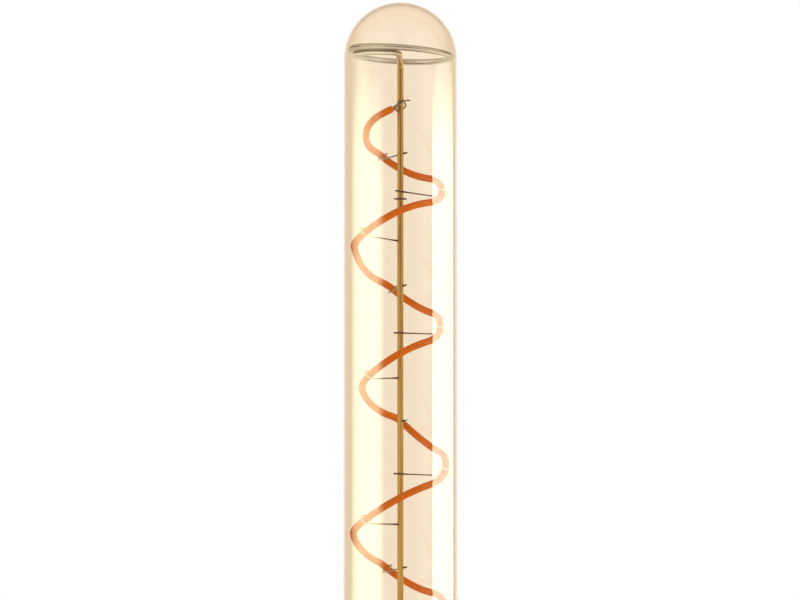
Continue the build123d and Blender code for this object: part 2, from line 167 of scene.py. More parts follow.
# Leads, tie and cross wire
lead_in_radius = 0.25
lead_in_offset = 3.1
lead_in_rise = 3.0
lead_in_reach = 4.0
lead_tail = 0.6
weld_length = 5.0
tie_wire_radius = 0.2
tie_loop_radius = 1.6
tie_loop_start = -60.0
tie_loop_step = 80.0
tie_loop_corners = 6
tie_loop_lean = 1.7
tie_rise = 0.4
tie_tail_rise = 1.6
tie_tail_reach = 2.7
tie_tail_angle = -15.0
cross_wire_length = 3.4
cross_wire_drop = 52.4
fine_bend_radius = 0.5
bend_share = 0.48

# How finely shapes are divided
arc_step = 4.0
least_arc_steps = 2
swell_steps = 16
dome_steps = 40
edge_steps = 8
thread_rows_per_turn = 24
hook_run_steps = 24
cross_wire_steps = 4
settling_rounds = 4
glass_segments = 256
cap_segments = 192
thick_sides = 32
tab_sides = 24
lead_sides = 16
fine_sides = 12

# How a wire's ends are rounded: the share of its radius, and the rings as shares of that depth
blunt_end = 0.5
round_end = 1.0
end_rings = (0.0, 0.25, 0.6, 1.0)

# Angles between faces up to which they are shaded as one
turned_smoothing = 35.0
wire_smoothing = 50.0
shell_smoothing = 50.0
glass_smoothing = 60.0


# Lines and meshes

def polar(angle, reach, height):
    """A place by its direction, its distance from the axis and its height."""
    return Vector((reach * cos(radians(angle)), reach * sin(radians(angle)), height))


def bent(corners, arms):
    """Points along straight runs with a tangent arc at each inner corner, whose ends lie an arm from it."""
    points = [corners[0]]
    for before, corner, after, arm in zip(corners, corners[1:], corners[2:], arms):
        inward = (corner - before).normalized()
        outward = (after - corner).normalized()
        turn = inward.angle(outward)
        first, last = corner - inward * arm, corner + outward * arm
        steps = max(least_arc_steps, ceil(degrees(turn) / arc_step))
        for index in range(steps + 1):
            u = index / steps
            low, middle, high = (1 - u) ** 2, 2 * cos(turn / 2) * u * (1 - u), u**2
            points.append((first * low + corner * middle + last * high) / (low + middle + high))
    points.append(corners[-1])
    return [points[0]] + [b for a, b in zip(points, points[1:]) if (b - a).length > fit_gap]


def even_arms(corners, radius):
    """Arms that give every corner this radius where its two runs have room for it."""
    runs = [after - before for before, after in zip(corners, corners[1:])]
    rooms = [bend_share * run.length for run in runs]
    rooms[0] *= 2
    rooms[-1] *= 2
    arms = []
    for into, out, before, after in zip(runs, runs[1:], rooms, rooms[1:]):
        arms.append(min(radius * tan(into.angle(out) / 2), before, after))
    return arms


def piece(name, vertices, faces, finish, smoothing, wire=None):
    """A mesh piece in the lamp's frame, shaded smooth up to an angle. A wire has its own coordinates."""
    mesh = bpy.data.meshes.new(name)
    mesh.from_pydata([tuple(v * MM for v in vertex) for vertex in vertices], [], faces)
    if wire:
        mesh.attributes.new("wire", "FLOAT_VECTOR", "POINT")
        for item, value in zip(mesh.attributes["wire"].data, wire):
            item.vector = value
    work = bmesh.new()
    work.from_mesh(mesh)
    bmesh.ops.recalc_face_normals(work, faces=work.faces)
    work.to_mesh(mesh)
    work.free()
    mesh.shade_smooth()
    mesh.set_sharp_from_angle(angle=radians(smoothing))
    mesh.materials.append(finish)
    made = bpy.data.objects.new(name, mesh)
    bpy.context.scene.collection.objects.link(made)
    return made


def dressed(made, slot, *replaced):
    """The piece rides on the lamp and stands for these nodes. The slot is not used."""
    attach(made, "root")
    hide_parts(*replaced)


def ring_faces(first, second, count):
    """Faces between two rings of vertices, by the number of each ring's first vertex."""
    return [(first + i, first + (i + 1) % count, second + (i + 1) % count, second + i) for i in range(count)]


def lathe(name, outline, segments, finish, smoothing=turned_smoothing):
    """A turned piece from a closed outline of radius and height, which may touch the axis."""
    vertices, starts, faces = [], [], []
    for radius, height in outline:
        starts.append(len(vertices))
        count = segments if radius > fit_gap else 1
        vertices += [polar(360 * i / segments, radius if count > 1 else 0, height) for i in range(count)]
    ends = starts[1:] + [len(vertices)]
    for here, there in zip(range(len(outline)), list(range(1, len(outline))) + [0]):
        wide_here, wide_there = ends[here] - starts[here] > 1, ends[there] - starts[there] > 1
        if wide_here and wide_there:
            faces += ring_faces(starts[here], starts[there], segments)
        elif wide_here or wide_there:
            rim, tip = (starts[here], starts[there]) if wide_here else (starts[there], starts[here])
            faces += [(rim + i, rim + (i + 1) % segments, tip) for i in range(segments)]
    return piece(name, vertices, faces, finish, smoothing)


def tube(name, points, radius, sides, finish, swell=None, nose=blunt_end):
    """A round bar along the points, its ends rounded over a share of the radius, which a swell scales."""
    runs = [(b - a).normalized() for a, b in zip(points, points[1:])]
    tangents = [runs[0]] + [(a + b).normalized() for a, b in zip(runs, runs[1:])] + [runs[-1]]
    rounds = [(share * radius * nose, sqrt(1 - (1 - share) ** 2 * nose)) for share in end_rings]
    stations = [(points[0] + runs[0] * inward, runs[0], width) for inward, width in rounds]
    stations += [(point, tangent, 1.0) for point, tangent in zip(points[1:-1], tangents[1:-1])]
    stations += [(points[-1] - runs[-1] * inward, runs[-1], width) for inward, width in rounds[::-1]]
    side, before, along = runs[0].orthogonal().normalized(), runs[0], 0.0
    vertices, wire, faces = [], [], []
    last = points[0]
    for place, tangent, share in stations:
        side = before.rotation_difference(tangent) @ side
        across = tangent.cross(side)
        width = radius * share * (swell(place) if swell else 1.0)
        along += (place - last).length
        start = len(vertices)
        for i in range(sides):
            turn = 2 * pi * i / sides
            vertices.append(place + (side * cos(turn) + across * sin(turn)) * width)
            wire.append((cos(turn), sin(turn), along))
        if start:
            faces += ring_faces(start - sides, start, sides)
        before, last = tangent, place
    faces.append(tuple(range(sides)))
    faces.append(tuple(range(len(vertices) - sides, len(vertices))))
    return piece(name, vertices, faces, finish, wire_smoothing, wire)


# Shader nodes, for materials, lamps and the world

def set_values(node, **values):
    """Constants on a node's sockets, whose names have underscores for spaces here."""
    for name, value in values.items():
        node.inputs[name.replace("_", " ")].default_value = value


def lamp_place(tree):
    """Places in the lamp's own coordinates, in metres."""
    return tree.nodes.new("ShaderNodeTexCoord").outputs["Object"]


def wire_place(tree):
    """Places on a wire: round it in the first two values, and along it in the third, in millimetres."""
    place = tree.nodes.new("ShaderNodeAttribute")
    place.attribute_name = "wire"
    return place.outputs["Vector"]


def part_of(tree, vector, axis):
    """One of a vector's three values."""
    split = tree.nodes.new("ShaderNodeSeparateXYZ")
    tree.links.new(vector, split.inputs["Vector"])
    return split.outputs[axis]


def noise_at(tree, place, scale, stretch, detail):
    """Noise by a place that is first stretched."""
    mapping = tree.nodes.new("ShaderNodeMapping")
    set_values(mapping, Scale=stretch)
    noise = tree.nodes.new("ShaderNodeTexNoise")
    set_values(noise, Scale=scale, Detail=detail)
    tree.links.new(place, mapping.inputs["Vector"])
    tree.links.new(mapping.outputs["Vector"], noise.inputs["Vector"])
    return noise.outputs["Fac"]


def ranged(tree, source, start, end, low=0.0, high=1.0):
    """The source's value carried from one range to another and held at its ends."""
    made = tree.nodes.new("ShaderNodeMapRange")
    set_values(made, From_Min=start, From_Max=end, To_Min=low, To_Max=high)
    tree.links.new(source, made.inputs["Value"])
    return made.outputs["Result"]


def off_axis(tree, near, far, low=0.0, high=1.0):
    """A value that goes from low to high between two distances from the lamp's axis, in metres."""
    place = lamp_place(tree)
    flat = tree.nodes.new("ShaderNodeCombineXYZ")
    for axis in ("X", "Y"):
        tree.links.new(part_of(tree, place, axis), flat.inputs[axis])
    length = tree.nodes.new("ShaderNodeVectorMath")
    length.operation = "LENGTH"
    tree.links.new(flat.outputs["Vector"], length.inputs[0])
    return ranged(tree, length.outputs["Value"], near, far, low, high)


def reckoned(tree, operation, first, second):
    """The result of an operation on two values."""
    made = tree.nodes.new("ShaderNodeMath")
    made.operation = operation
    tree.links.new(first, made.inputs[0])
    tree.links.new(second, made.inputs[1])
    return made.outputs["Value"]


def ramp(tree, source, stops):
    """Colours along the source's value, by stops of a position and a colour."""
    made = tree.nodes.new("ShaderNodeValToRGB")
    elements = made.color_ramp.elements
    while len(elements) < len(stops):
        elements.new(0.5)
    for element, (position, colour) in zip(elements, stops):
        element.position = position
        element.color = (*colour, 1.0)
    tree.links.new(source, made.inputs["Fac"])
    return made.outputs["Color"]


def levels(tree, source, stops):
    """Grey levels along the source's value, by stops of a position and a level."""
    return ramp(tree, source, [(position, (level,) * 3) for position, level in stops])


def chosen(tree, factor, first, second, kind="FLOAT"):
    """The first value where the factor is 0 and the second where it is 1. Each is a number or a socket."""
    made = tree.nodes.new("ShaderNodeMix")
    made.data_type = kind
    tree.links.new(factor, made.inputs["Factor"])
    for name, value in (("A", first), ("B", second)):
        if isinstance(value, float):
            made.inputs[name].default_value = value
        else:
            tree.links.new(value, made.inputs[name])
    return made.outputs["Result"]


def shader_mix(tree, factor, first, second):
    """The first shader where the factor is 0 and the second where it is 1, as the material's surface."""
    mix = tree.nodes.new("ShaderNodeMixShader")
    tree.links.new(factor, mix.inputs["Fac"])
    tree.links.new(first, mix.inputs[1])
    tree.links.new(second, mix.inputs[2])
    tree.links.new(mix.outputs["Shader"], tree.nodes["Material Output"].inputs["Surface"])


# Materials

# Grains of a finish: their detail, the noise at which a tone is darkest and lightest, their depth in
# millimetres, and how far they vary a metal's roughness
grain_detail = 4.0
grain_dark = 0.3
grain_light = 0.7
grain_bump = 0.1
gloss_spread = 0.3
even_stretch = (1, 1, 1)

# Refraction of the glass
glass_index = 1.5

# Painted highlight and shade streaks along the centre wire, and its tones by the streaks: golden tones of
# painted amber light on the rod and spoke, and grey tones beyond
streak_scale = 1.6
streak_stretch = (1, 1, 0.004)
streak_detail = 3.0
painted_amber_streak_tones = [(0.35, (0.42, 0.255, 0.075)), (0.65, (0.62, 0.40, 0.135))]
grey_and_painted_streak_tones = [(0.38, (0.32, 0.315, 0.29)), (0.62, (0.92, 0.92, 0.89))]
painted_amber_blend = 2.5
drawn_roughness = 0.27

# Tones of a hook from the axis outward, by the share of a reach: browned by the weld at the centre wire,
# painted amber shade along the run, and a painted highlight at the loop
hook_tone_reach = 14.0
weld_brown_and_painted_light_tones = [
    (0.08, (0.16, 0.11, 0.055)),
    (0.25, (0.30, 0.25, 0.17)),
    (0.62, (0.36, 0.33, 0.27)),
    (0.74, (0.6, 0.59, 0.55)),
]
hook_roughness = 0.42


def material(name):
    """A new material with its node tree and its shader."""
    made = bpy.data.materials.new(name)
    made.use_nodes = True
    return made, made.node_tree, made.node_tree.nodes["Principled BSDF"]


def glass(name, absorbed=None, density=0.0):
    """Clear glass whose surface casts no shadow, with a body colour where it has a density."""
    made, tree, shader = material(name)
    set_values(shader, Base_Color=(1, 1, 1, 1), Roughness=0.0, IOR=glass_index, Transmission_Weight=1.0)
    clear = tree.nodes.new("ShaderNodeBsdfTransparent")
    path = tree.nodes.new("ShaderNodeLightPath")
    shader_mix(tree, path.outputs["Is Shadow Ray"], shader.outputs["BSDF"], clear.outputs["BSDF"])
    if density:
        body = tree.nodes.new("ShaderNodeVolumeAbsorption")
        set_values(body, Color=(*absorbed, 1.0), Density=density)
        tree.links.new(body.outputs["Volume"], tree.nodes["Material Output"].inputs["Volume"])
    return made


def grained(tree, shader, dark, light, scale, stretch, bump):
    """A grain that varies the shader's tone and roughens its surface."""
    noise = noise_at(tree, lamp_place(tree), scale, stretch, grain_detail)
    tone = ramp(tree, noise, [(grain_dark, dark), (grain_light, light)])
    tree.links.new(tone, shader.inputs["Base Color"])
    dents = tree.nodes.new("ShaderNodeBump")
    set_values(dents, Strength=bump, Distance=grain_bump * MM)
    tree.links.new(noise, dents.inputs["Height"])
    tree.links.new(dents.outputs["Normal"], shader.inputs["Normal"])
    return noise


def metal(name, dark, light, rough, scale, stretch=even_stretch, bump=0.05):
    """Metal whose tone and gloss vary with a grain. The scale is in grains per metre."""
    made, tree, shader = material(name)
    set_values(shader, Metallic=1.0)
    noise = grained(tree, shader, dark, light, scale, stretch, bump)
    gloss = ranged(tree, noise, 0.0, 1.0, rough * (1 - gloss_spread), rough * (1 + gloss_spread))
    tree.links.new(gloss, shader.inputs["Roughness"])
    return made


def dull(name, dark, light, rough, scale, bump=0.1, **values):
    """A plastic, mineral or lacquer whose tone varies with a grain. The scale is in grains per metre."""
    made, tree, shader = material(name)
    set_values(shader, Roughness=rough, **values)
    grained(tree, shader, dark, light, scale, even_stretch, bump)
    return made


def wire_with_painted_light(name, painted_amber_length):
    """Wire with painted highlight and shade streaks along it, golden with painted amber light over its first
    length and greyer beyond.
    """
    made, tree, shader = material(name)
    set_values(shader, Metallic=1.0, Roughness=drawn_roughness)
    place = wire_place(tree)
    painted_streaks = noise_at(tree, place, streak_scale, streak_stretch, streak_detail)
    # Golden tones are painted amber light, and both sets of tones paint highlight and shade streaks along
    # the wire
    painted_amber, grey_painted_streaks = ramp(tree, painted_streaks, painted_amber_streak_tones), ramp(tree, painted_streaks, grey_and_painted_streak_tones)
    beyond = ranged(tree, part_of(tree, place, "Z"), painted_amber_length - painted_amber_blend, painted_amber_length)
    tree.links.new(chosen(tree, beyond, painted_amber, grey_painted_streaks, "RGBA"), shader.inputs["Base Color"])
    return made


def hook_wire(name):
    """Fine wire, browned by the weld where it meets the centre wire, with painted amber shade along its run
    and a painted highlight that makes it bright at its loop.
    """
    made, tree, shader = material(name)
    set_values(shader, Metallic=1.0, Roughness=hook_roughness)
    # Weld browning at the centre wire, painted amber shade along the run and a painted highlight at the loop
    tone = ramp(tree, off_axis(tree, 0.0, hook_tone_reach * MM), weld_brown_and_painted_light_tones)
    tree.links.new(tone, shader.inputs["Base Color"])
    return made


amber_glass = glass("amber_glass", (1.0, 0.64, 0.05), 300.0)
clear_glass = glass("clear_glass")
strand_orange = dull(
    "strand_orange", (0.60, 0.138, 0.001), (0.68, 0.17, 0.002),
    rough=0.6, scale=1800.0, Specular_IOR_Level=0.05,
)
hook_metal = hook_wire("hook_metal")
tab_metal = metal("tab_metal", (0.20, 0.16, 0.11), (0.42, 0.36, 0.27), rough=0.4, scale=2500.0)
tie_metal = metal("tie_metal", (0.16, 0.115, 0.06), (0.40, 0.30, 0.17), rough=0.35, scale=2500.0)
lead_metal = metal(
    "lead_metal", (0.42, 0.39, 0.33), (0.62, 0.58, 0.50), rough=0.3, scale=1500.0, stretch=(1, 1, 0.05)
)
cap_metal = metal(
    "cap_metal", (0.62, 0.60, 0.56), (0.78, 0.76, 0.72), rough=0.22, scale=300.0, stretch=(1, 1, 4)
)
contact_metal = metal(
    "contact_metal", (0.55, 0.51, 0.42), (0.72, 0.69, 0.60), rough=0.32, scale=700.0, bump=0.2
)
insulator_black = dull(
    "insulator_black", (0.006, 0.006, 0.007), (0.014, 0.014, 0.016), rough=0.12, scale=400.0, bump=0.05
)
cement = dull("cement", (0.50, 0.45, 0.36), (0.66, 0.61, 0.51), rough=0.9, scale=2500.0, bump=0.6)
board_green = dull("board_green", (0.010, 0.085, 0.035), (0.018, 0.12, 0.05), rough=0.4, scale=900.0)
resistor_body = dull("resistor_body", (0.10, 0.16, 0.13), (0.14, 0.21, 0.17), rough=0.35, scale=900.0)
capacitor_sleeve = dull(
    "capacitor_sleeve", (0.010, 0.010, 0.013), (0.020, 0.020, 0.024), rough=0.3, scale=900.0
)
package_black = dull(
    "package_black", (0.010, 0.010, 0.010), (0.022, 0.022, 0.022), rough=0.6, scale=2500.0, bump=0.3
)


# Glass envelope

def arc(centre, radius, start, end, steps):
    """Points of an arc in the radius and height plane, between two angles."""
    angles = [radians(start + (end - start) * i / steps) for i in range(steps + 1)]
    return [(centre[0] + radius * cos(a), centre[1] + radius * sin(a)) for a in angles]


def swell_arcs(low, high, inset):
    """Two equal tangent arcs between two upright walls, moved inward by the inset."""
    turn = 2 * atan((high[0] - low[0]) / (high[1] - low[1]))
    radius = (high[1] - low[1]) / (2 * sin(turn))
    hollow = arc((low[0] + radius, low[1]), radius + inset, 180, 180 - degrees(turn), swell_steps)
    crown = arc((high[0] - radius, high[1]), radius - inset, -degrees(turn), 0, swell_steps)
    return hollow + crown[1:]


def glass_side(inset):
    """One side of the glass, from the neck's edge up to the dome's top."""
    side = [(neck_radius - inset, neck_z)]
    side += swell_arcs((neck_radius, taper_z), (seat_radius, taper_top), inset)
    side += swell_arcs((seat_radius, shoulder_z), (tube_radius, shoulder_top), inset)
    side += arc((0, dome_z), tube_radius - inset, 0, 90, dome_steps)
    return side


glass_outline = glass_side(0) + glass_side(glass_wall)[::-1]
envelope = lathe("glass_tube", glass_outline, glass_segments, amber_glass, glass_smoothing)
dressed(envelope, "amber_glass", "glass_envelope")


# Screw cap

def thread_radius(angle, height):
    """The radius of a turning, off-centre ring at this angle and height."""
    lean = thread_depth / 2
    mean = crest_radius - lean
    turn = radians(angle) - 2 * pi * (height - thread_z) / thread_pitch
    return lean * cos(turn) + sqrt(mean**2 - (lean * sin(turn)) ** 2)


def shell_rows(inset):
    """Rows of the shell's wall from lip to rim: a height, and a radius or None where the thread gives it."""
    edge = shell_sheet / 2
    wall = collar_radius - inset
    rows = [(lip_z + inset, lip_radius - inset), (thread_z - shell_sheet, wall), (thread_z - edge / 2, wall)]
    steps = int(thread_turns * thread_rows_per_turn)
    rows += [(thread_z + thread_turns * thread_pitch * i / steps, None) for i in range(1, steps)]
    rows += [(collar_z + edge / 2, wall), (rim_z - edge, wall)]
    return rows


def screw_shell():
    """The shell's outer wall, its rim and its inner wall, each row a ring."""
    rows = [(row, 0) for row in shell_rows(0)]
    rows.append(((rim_z, collar_radius - shell_sheet / 2), 0))
    rows += [(row, shell_sheet) for row in shell_rows(shell_sheet)[::-1]]
    vertices, faces = [], []
    for (height, radius), inset in rows:
        for i in range(cap_segments):
            angle = 360 * i / cap_segments
            vertices.append(polar(angle, radius if radius else thread_radius(angle, height) - inset, height))
    starts = [cap_segments * i for i in range(len(rows))]
    for first, second in zip(starts, starts[1:] + starts[:1]):
        faces += ring_faces(first, second, cap_segments)
    return piece("cap_shell", vertices, faces, cap_metal, shell_smoothing)


def rounded(corners, radius):
    """A closed outline of radius and height with its inner corners rounded."""
    points = [Vector((r, 0, z)) for r, z in corners]
    return [(p.x, p.z) for p in bent(points, even_arms(points, radius))]


lip_inner_low = (lip_radius - shell_sheet, lip_z + shell_sheet)
lip_inner_high = (crest_radius - thread_depth - shell_sheet - lip_gap, thread_z - shell_sheet)
seat_share = (insulator_rim_radius - lip_inner_low[0]) / (lip_inner_high[0] - lip_inner_low[0])
seat_z = lip_inner_low[1] + seat_share * (lip_inner_high[1] - lip_inner_low[1])
insulator_outline = rounded([
    (rivet_radius, contact_height),
    (insulator_foot_radius, contact_height),
    lip_inner_low,
    (insulator_rim_radius, seat_z),
    (insulator_rim_radius, board_z),
    (dish_radius, board_z),
    (dish_radius, insulator_floor),
    (rivet_radius, insulator_floor),
], insulator_edge)
contact_middle = (contact_radius - contact_edge, contact_edge)
contact_outline = [(0, 0)] + arc(contact_middle, contact_edge, -90, 0, edge_steps) + [
    (contact_radius, contact_height),
    (rivet_radius, contact_height),
    (rivet_radius, rivet_z),
    (0, rivet_z),
]
dressed(screw_shell(), "cap_metal", "screw_shell")
insulator = lathe("cap_insulator_ring", insulator_outline, cap_segments, insulator_black)
dressed(insulator, "insulator_black", "cap_insulator")
contact = lathe("contact_button", contact_outline, cap_segments, contact_metal)
dressed(contact, "contact_brass", "centre_contact")


# Centre wire

def ring_line():
    """Points of the ring, which winds outward from its start to its end under the dome, and its radius."""
    ring_z = overall_length - ring_drop
    slope = tan(radians(ring_tilt))
    reach = tube_bore - rod_radius - ring_gap
    lift = ring_z + ring_rise * ring_turns - dome_z
    end_reach = (sqrt(reach**2 * (1 + slope**2) - lift**2) - slope * lift) / (1 + slope**2)
    inset = sqrt((2 * rod_radius + ring_turn_gap) ** 2 - ring_rise**2)
    radius = (reach + inset / 2 + end_reach) / 2
    shift = radius - end_reach

    def spot(turns, outward):
        wide = (radius - inset * (ring_turns - turns)) * outward
        place = polar(ring_start_angle - 360 * turns, wide, ring_z + ring_rise * turns)
        return place + Vector((shift, 0, -slope * (place.x + shift)))

    step = 1 / ring_corners_per_turn
    outward = 1 / cos(pi * step)
    ring = [spot(0, 1)]
    ring += [spot(step * (index + 0.5), outward) for index in range(int(ring_turns / step))]
    return ring + [spot(ring_turns, 1)], radius


def support_wire():
    """The rod from the stem up to its knee, the spoke to the elbow, and the ring."""
    ring, radius = ring_line()
    elbow = ring[0] + (ring[0] - ring[1]).normalized() * wire_bend_radius
    foot = Vector((0, 0, press_top - support_embed))
    knee = Vector((0, 0, elbow.z - spoke_rise))
    arms = [wire_bend_radius, wire_bend_radius] + even_arms(ring, radius)
    line = bent([foot, knee, elbow] + ring[1:], arms)
    # The rod and the spoke get the painted amber light, and the ring is grey
    finish = wire_with_painted_light("support_metal", (knee - foot).length + (elbow - knee).length)
    return tube("centre_wire", line, rod_radius, thick_sides, finish)


dressed(support_wire(), "support_metal", "support_wire")


# Light strand

def strand_stations():
    """Every station of the strand from its top end down: kind, place, pull and the rise of its hook."""
    stations = [("end", polar(top_end_angle, top_end_reach, overall_length - top_end_drop), 1.0, 0.0)]
    depth = overall_length - press_top - strand_foot - first_drop
    turns = int(depth / turn_pitch - turn_stations[0][2])
    order = [(-1, turn_stations[-1])]
    order += [(turn, station) for turn in range(turns) for station in turn_stations]
    order.append((turns, turn_stations[0]))
    for index, (turn, (kind, angle, share, pull)) in enumerate(order):
        swing, inset, lower, lift = upper_strays[index] if index < len(upper_strays) else lower_stray
        drop = first_drop + (turn + share) * turn_pitch + lower
        place = polar(angle - 360 * turn + swing, coil_radius - inset, overall_length - drop)
        stations.append((kind, place, pull, weld_rise.get(kind, 0) + lift))
    foot_angle = angle - 360 * turn - foot_end_turn
    foot_z = overall_length - drop - foot_end_drop
    stations.append(("end", polar(foot_angle, foot_end_reach, foot_z), 1.0, 0.0))
    return stations


def strand_headings(places):
    """The strand's direction at each station, down along it. An end's comes from the three places there."""
    headings = [(places[1] - places[0]) * 2 - (places[2] - places[0]) * 0.5]
    headings += [after - before for before, after in zip(places, places[2:])]
    headings.append((places[-1] - places[-2]) * 2 - (places[-1] - places[-3]) * 0.5)
    return [heading.normalized() for heading in headings]


def strand_line(stations, headings):
    """A smooth line through the stations: two arcs in each span, as wide at each end as the pulls say."""
    corners, arms = [stations[0][1]], []
    for (here, there), (along, beyond) in zip(zip(stations, stations[1:]), zip(headings, headings[1:])):
        span = there[1] - here[1]
        ratio = there[2] / here[2]
        square = 2 * ratio * (along.dot(beyond) - 1)
        linear = -2 * span.dot(along + beyond * ratio)
        root = sqrt(linear**2 - 4 * square * span.dot(span))
        arm = (-linear - root) / (2 * square)
        corners += [here[1] + along * arm, there[1] - beyond * (arm * ratio)]
        arms += [arm, arm * ratio]
    corners.append(stations[-1][1])
    return bent(corners, arms)


stations = strand_stations()
headings = strand_headings([place for kind, place, pull, rise in stations])
top_end, foot_end = stations[0][1], stations[-1][1]
top_tab_end = top_end - headings[0] * top_tab_length
foot_tab_end = foot_end + headings[-1] * foot_tab_length
line = strand_line(stations, headings)
strand = tube("strand", line, strand_radius, thick_sides, strand_orange, nose=round_end)
dressed(strand, "strand_orange", "light_strand")
for name, node, start, end in (
    ("strand_tab_top", "strand_top_tab", top_end, top_tab_end),
    ("strand_tab_foot", "strand_foot_tab", foot_end, foot_tab_end),
):
    tab = tube(name, [start, (start + end) / 2, end], tab_radius, tab_sides, tab_metal)
    dressed(tab, "tab_metal", node)


# Hooks, tie and cross wire

def weld_swell(place):
    """A hook is thicker where it is welded beside the centre wire."""
    return 1.0 + weld_growth * max(0.0, 1 - (place.to_2d().length - hook_pass) / weld_reach)


def hook_line(place, heading, rise):
    """From the stub past the centre wire to an open loop round the strand."""
    along = heading * -1
    run = Vector((-place.x, -place.y, 0)).normalized()
    # The loop's start and the run to the centre wire depend on each other and settle in a few rounds.
    for settling in range(settling_rounds):
        lift = along.cross(run).normalized()
        start = place - lift * hook_loop_radius
        level = Vector((-start.x, -start.y, 0))
        turn = asin(hook_pass / level.length)
        flat = Vector((
            level.x * cos(turn) - level.y * sin(turn),
            level.x * sin(turn) + level.y * cos(turn),
            0,
        ))
        reach = level.length * cos(turn)
        run = (flat.normalized() * reach + Vector((0, 0, rise))).normalized()
    steps = int(hook_loop_sweep / (2 * arc_step))
    loop = []
    for index in range(steps + 1):
        angle = radians(hook_loop_sweep * index / steps)
        loop.append(place - (lift * cos(angle) + run * sin(angle)) * hook_loop_radius)
    stub = start + run * (reach + hook_stub)
    straight = [stub + (start - stub) * (index / hook_run_steps) for index in range(hook_run_steps)]
    return straight + loop


def tie_line():
    """From the top tab, one loose turn round the centre wire and a free tail."""
    corners = [top_tab_end, top_tab_end - headings[0] * (2 * tie_wire_radius)]
    for corner in range(tie_loop_corners):
        turn = tie_loop_step * corner
        lift = tie_rise * corner / tie_loop_corners + tie_loop_lean * cos(radians(turn))
        corners.append(polar(tie_loop_start + turn, tie_loop_radius, top_tab_end.z + lift))
    corners.append(polar(tie_tail_angle, tie_tail_reach, top_tab_end.z + tie_tail_rise))
    return bent(corners, even_arms(corners, fine_bend_radius))


def cross_line():
    """A short level line in front of the centre wire."""
    height = overall_length - cross_wire_drop
    shares = [index / cross_wire_steps - 0.5 for index in range(cross_wire_steps + 1)]
    return [Vector((cross_wire_length * share, -hook_pass, height)) for share in shares]


hooked = [pair for pair in zip(stations, headings) if pair[0][0] in weld_rise]
for number, ((kind, place, pull, rise), heading) in enumerate(hooked, 1):
    line = hook_line(place, heading, rise)
    hook = tube(f"hook_{number:02d}", line, hook_wire_radius, fine_sides, hook_metal, weld_swell)
    dressed(hook, "hook_wire", f"strand_hook_{number:02d}")
tie = tube("tie_wire", tie_line(), tie_wire_radius, fine_sides, tie_metal)
dressed(tie, "hook_wire", "top_tie_wire")
cross = tube("weld_wire", cross_line(), hook_wire_radius, fine_sides, hook_metal, weld_swell)
dressed(cross, "hook_wire", "cross_wire")


# Lead-in wires

def lead(name, corners):
    """A lead-in wire with a bend at each inner corner."""
    line = bent(corners, even_arms(corners, wire_bend_radius))
    return tube(name, line, lead_in_radius, lead_sides, lead_metal)


lead_foot = board_z - lead_tail
knee_z = press_top + lead_in_rise
strand_lead = lead("lead_to_strand", [
    Vector((lead_in_offset, 0, lead_foot)),
    Vector((lead_in_offset, 0, knee_z)),
    foot_tab_end + headings[-1] * lead_in_reach,
    foot_tab_end,
])
dressed(strand_lead, "lead_wire", "strand_lead_in")
beside = rod_radius + lead_in_radius + fit_gap
support_lead = lead("lead_to_support", [
    Vector((-lead_in_offset, 0, lead_foot)),
    Vector((-lead_in_offset, 0, knee_z)),
    Vector((-beside, 0, knee_z + lead_in_reach)),
    Vector((-beside, 0, knee_z + lead_in_reach + weld_length)),
])
dressed(support_lead, "lead_wire", "support_lead_in")


# Finish of the nodes that stay as they are
node_finishes = {
    "glass_stem": clear_glass,
    "cap_cement": cement,
    "driver_board": board_green,
    "fuse_resistor": resistor_body,
    "smoothing_capacitor": capacitor_sleeve,
    "bridge_rectifier": package_black,
    "driver_chip": package_black,
    "live_lead": lead_metal,
    "neutral_lead": lead_metal,
}
for name, finish in node_finishes.items():
    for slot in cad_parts[name].material_slots:
        slot.material = finish


# Floor. Its white share grows with the distance from the lamp, so that it keeps the shadow. In metres.
floor_half = 6.0
floor_grey = 0.82
floor_roughness = 0.9
white_near = 0.05
white_far = 0.5
least_white = 0.6


def pale_floor():
    """A wide pale floor under the contact. It shows as white and keeps the lamp's shadow."""
    mesh = bpy.data.meshes.new("floor")
    corners = [(-floor_half, -floor_half, 0), (floor_half, -floor_half, 0)]
    corners += [(floor_half, floor_half, 0), (-floor_half, floor_half, 0)]
    mesh.from_pydata(corners, [], [(0, 1, 2, 3)])
    made, tree, shader = material("floor_paint")
    set_values(shader, Base_Color=(floor_grey, floor_grey, floor_grey, 1), Roughness=floor_roughness)
    path = tree.nodes.new("ShaderNodeLightPath")
    rays = reckoned(tree, "MAXIMUM", path.outputs["Is Camera Ray"], path.outputs["Is Glossy Ray"])
    rays = reckoned(tree, "MAXIMUM", rays, path.outputs["Is Transmission Ray"])
    white = reckoned(tree, "MULTIPLY", rays, off_axis(tree, white_near, white_far, least_white))
    glow = tree.nodes.new("ShaderNodeEmission")
    shader_mix(tree, white, shader.outputs["BSDF"], glow.outputs["Emission"])
    mesh.materials.append(made)
    floor = bpy.data.objects.new("floor", mesh)
    floor.location.z = cad_box[0][2]
    bpy.context.scene.collection.objects.link(floor)


# World. Levels from the camera's side to the far side are stops of a share of the depth and a level.
fill_level = 0.35
overhead_level = 0.75
overhead_rise = (0.3, 0.6)
mirrored_levels = ((0.9, 0.1), (0.96, 1.0))
inside_levels = (
    (0.04, 0.25), (0.2, 1.0), (0.5, 0.8), (0.66, 0.2), (0.82, 0.2), (0.88, 0.9), (0.96, 1.0),
)


